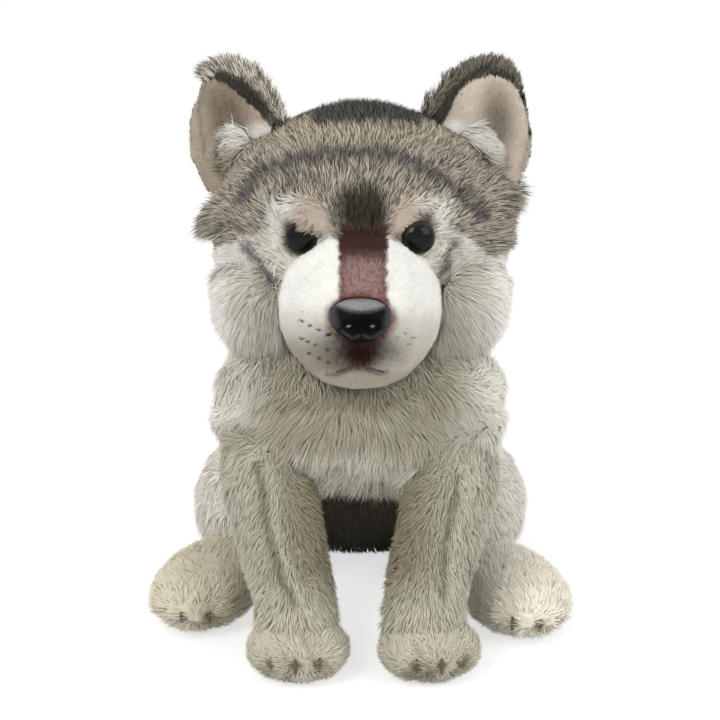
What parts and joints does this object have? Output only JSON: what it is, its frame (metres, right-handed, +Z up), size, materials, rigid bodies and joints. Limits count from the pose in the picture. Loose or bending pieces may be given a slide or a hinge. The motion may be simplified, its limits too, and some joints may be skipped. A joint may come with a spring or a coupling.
{
  "type": "plush wolf",
  "caption": "Sitting plush wolf with grizzled grey back, white cheeks and chest, upright lined ears, moulded nose and eyes, and stitched toes.",
  "frame": {"origin": "middle of the bounding box, on the floor that the wolf sits on", "axes": "+Z up, the wolf looks along -Y, its own left side is at +X"},
  "size_m": [0.2076, 0.3302, 0.2776],
  "materials": {
    "grizzled_grey_pile": "long grizzled grey-brown polyester pile with dark roots and pale tips",
    "white_long_pile": "long soft off-white polyester pile, wavy",
    "cream_pile": "medium cream-grey polyester pile",
    "white_velour": "very short white velour pile with an airbrushed red-brown bridge",
    "beige_short_lining": "short beige pile, airbrushed darker in the hollow",
    "black_moulded_plastic": "glossy moulded black plastic",
    "white_washer_plastic": "natural white moulded plastic",
    "brown_cotton_thread": "twisted dark brown sewing thread"
  },
  "bodies": {
    "root": {"cheek_left": "white_long_pile", "cheek_right": "white_long_pile", "chest_bib": "white_long_pile", "ear_lining_left": "beige_short_lining", "ear_lining_right": "beige_short_lining", "ear_outer_left": "grizzled_grey_pile", "ear_outer_right": "grizzled_grey_pile", "ear_tuft_left": "white_long_pile", "ear_tuft_right": "white_long_pile", "eye_left": "black_moulded_plastic", "eye_right": "black_moulded_plastic", "eye_washer_left": "white_washer_plastic", "eye_washer_right": "white_washer_plastic", "foreleg_left": "cream_pile", "foreleg_right": "cream_pile", "forepaw_left": "cream_pile", "forepaw_left_stitch_1": "brown_cotton_thread", "forepaw_left_stitch_2": "brown_cotton_thread", "forepaw_left_stitch_3": "brown_cotton_thread", "forepaw_right": "cream_pile", "forepaw_right_stitch_1": "brown_cotton_thread", "forepaw_right_stitch_2": "brown_cotton_thread", "forepaw_right_stitch_3": "brown_cotton_thread", "head": "grizzled_grey_pile", "hind_foot_left": "cream_pile", "hind_foot_left_stitch_1": "brown_cotton_thread", "hind_foot_left_stitch_2": "brown_cotton_thread", "hind_foot_left_stitch_3": "brown_cotton_thread", "hind_foot_right": "cream_pile", "hind_foot_right_stitch_1": "brown_cotton_thread", "hind_foot_right_stitch_2": "brown_cotton_thread", "hind_foot_right_stitch_3": "brown_cotton_thread", "mouth_thread": "brown_cotton_thread", "muzzle": "white_velour", "nose": "black_moulded_plastic", "nose_washer": "white_washer_plastic", "tail": "grizzled_grey_pile", "thigh_left": "cream_pile", "thigh_right": "cream_pile", "torso": "grizzled_grey_pile"}
  },
  "joints": []
}
